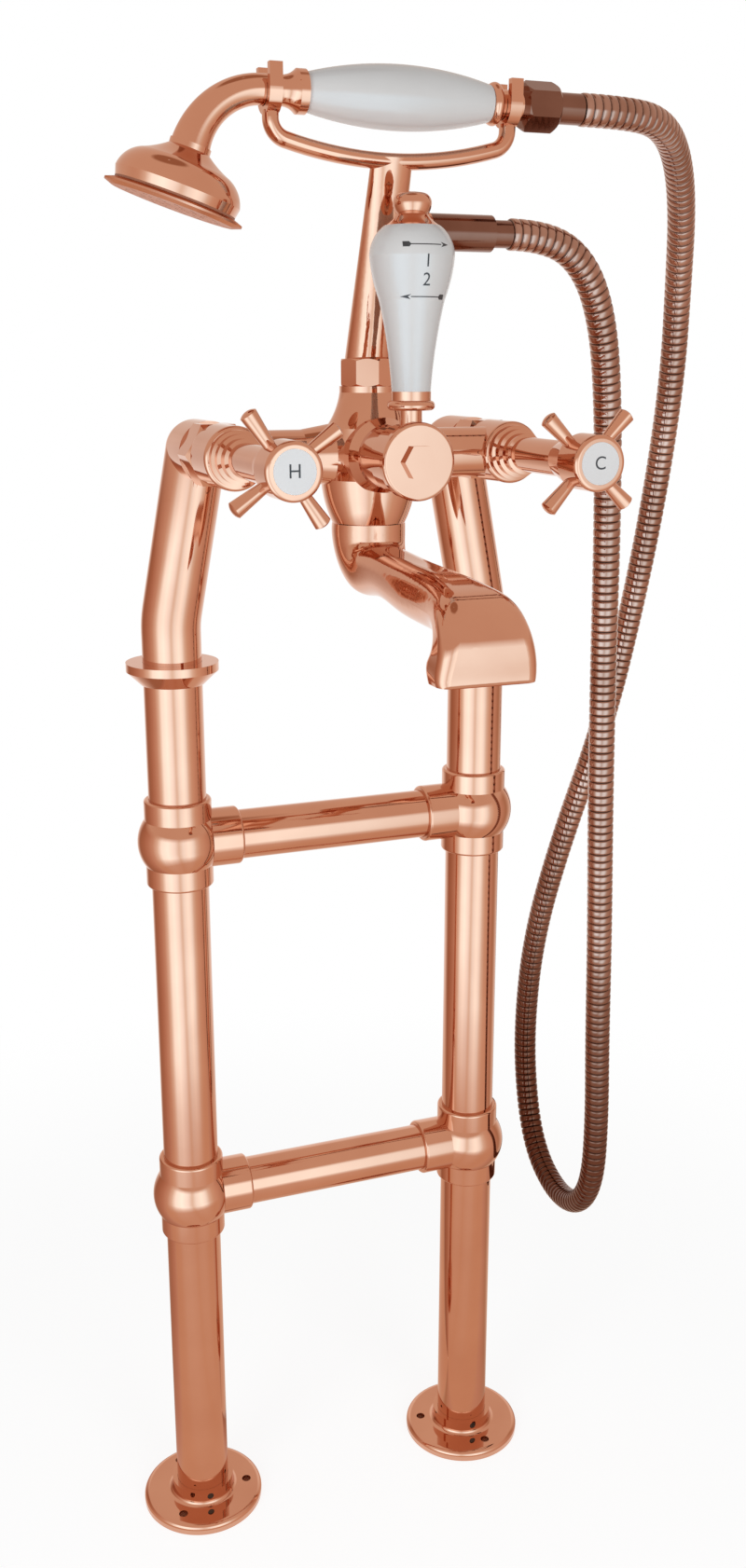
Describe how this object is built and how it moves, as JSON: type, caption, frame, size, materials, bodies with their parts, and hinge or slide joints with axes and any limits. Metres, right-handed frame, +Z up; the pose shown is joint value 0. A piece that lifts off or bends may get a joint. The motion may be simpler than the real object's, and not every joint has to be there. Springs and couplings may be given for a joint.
{
  "type": "freestanding bath mixer",
  "caption": "Copper bath and shower mixer on two floor-standing pipes with crossbars, cross-handle taps, a lever diverter, a swivel spout and a hand shower resting in a cradle on a ribbed hose.",
  "frame": {"origin": "on the floor, midway between the two supply pipes", "axes": "+X from the hot leg to the cold leg, -Y to the spout's side, +Z up"},
  "size_m": [0.3577, 0.2976, 0.8249],
  "materials": {
    "polished_copper": "polished",
    "dark_copper": "satin, darker where the ribs meet",
    "ceramic": "white glaze",
    "index_enamel": "white enamel",
    "screw_steel": "plain",
    "rubber": "matt"
  },
  "bodies": {
    "frame": {"cold_floor_flange": "polished_copper", "cold_headwork": "polished_copper", "cold_inlet_elbow": "polished_copper", "cold_lower_standpipe": "polished_copper", "cold_lower_tee": "polished_copper", "cold_middle_standpipe": "polished_copper", "cold_shroud_collar": "polished_copper", "cold_supply_pipe": "polished_copper", "cold_union_nut": "polished_copper", "cold_upper_standpipe": "polished_copper", "cold_upper_tee": "polished_copper", "cradle": "polished_copper", "flange_grub_screws": "screw_steel", "hose_outlet_socket": "dark_copper", "hose_start_ferrule": "dark_copper", "hot_floor_flange": "polished_copper", "hot_headwork": "polished_copper", "hot_inlet_elbow": "polished_copper", "hot_lower_standpipe": "polished_copper", "hot_lower_tee": "polished_copper", "hot_middle_standpipe": "polished_copper", "hot_shroud_collar": "polished_copper", "hot_supply_pipe": "polished_copper", "hot_union_nut": "polished_copper", "hot_upper_standpipe": "polished_copper", "hot_upper_tee": "polished_copper", "lower_crossbar": "polished_copper", "mixer_body": "polished_copper", "riser_nut": "polished_copper", "shower_hose": "dark_copper", "union_washers": "rubber", "upper_crossbar": "polished_copper"},
    "hot_handle": {"hot_cross_handle": "polished_copper", "hot_spindle": "polished_copper", "hot_handle_screw": "screw_steel", "hot_index_disc": "index_enamel"},
    "cold_handle": {"cold_cross_handle": "polished_copper", "cold_spindle": "polished_copper", "cold_handle_screw": "screw_steel", "cold_index_disc": "index_enamel"},
    "diverter_lever": {"diverter_hub": "polished_copper", "diverter_spindle": "polished_copper", "diverter_cap": "polished_copper", "lever_stem": "polished_copper", "lever_ferrule": "polished_copper", "lever_grip": "ceramic", "lever_finial": "polished_copper"},
    "swivel_spout": {"spout": "polished_copper", "spout_o_rings": "rubber"},
    "handset": {"handset_grip": "ceramic", "front_ferrule": "polished_copper", "rear_ferrule": "polished_copper", "handset_water_tube": "polished_copper", "handset_hose_nut": "dark_copper", "hose_end_ferrule": "dark_copper", "handset_neck": "polished_copper", "rose_bell": "polished_copper", "rose_gasket": "rubber", "rose_plate": "polished_copper"}
  },
  "joints": [
    {"name": "hot_handle_turn", "type": "hinge", "parent": "frame", "child": "hot_handle", "pos_m": [-0.073, -0.0964, 0.651], "axis": [0, -1, 0], "range_deg": [0, 90]},
    {"name": "cold_handle_turn", "type": "hinge", "parent": "frame", "child": "cold_handle", "pos_m": [0.073, -0.0964, 0.651], "axis": [0, -1, 0], "range_deg": [-90, 0]},
    {"name": "diverter_turn", "type": "hinge", "parent": "frame", "child": "diverter_lever", "pos_m": [0, -0.108, 0.651], "axis": [0, -1, 0], "range_deg": [-45, 45]},
    {"name": "spout_swivel", "type": "hinge", "parent": "frame", "child": "swivel_spout", "pos_m": [0, -0.062, 0.617], "axis": [0, 0, 1], "range_deg": [-60, 60]},
    {"name": "handset_lift", "type": "slide", "parent": "frame", "child": "handset", "axis": [0, 0, 1], "range_m": [0, 0.06], "deforming": ["shower_hose"]}
  ]
}
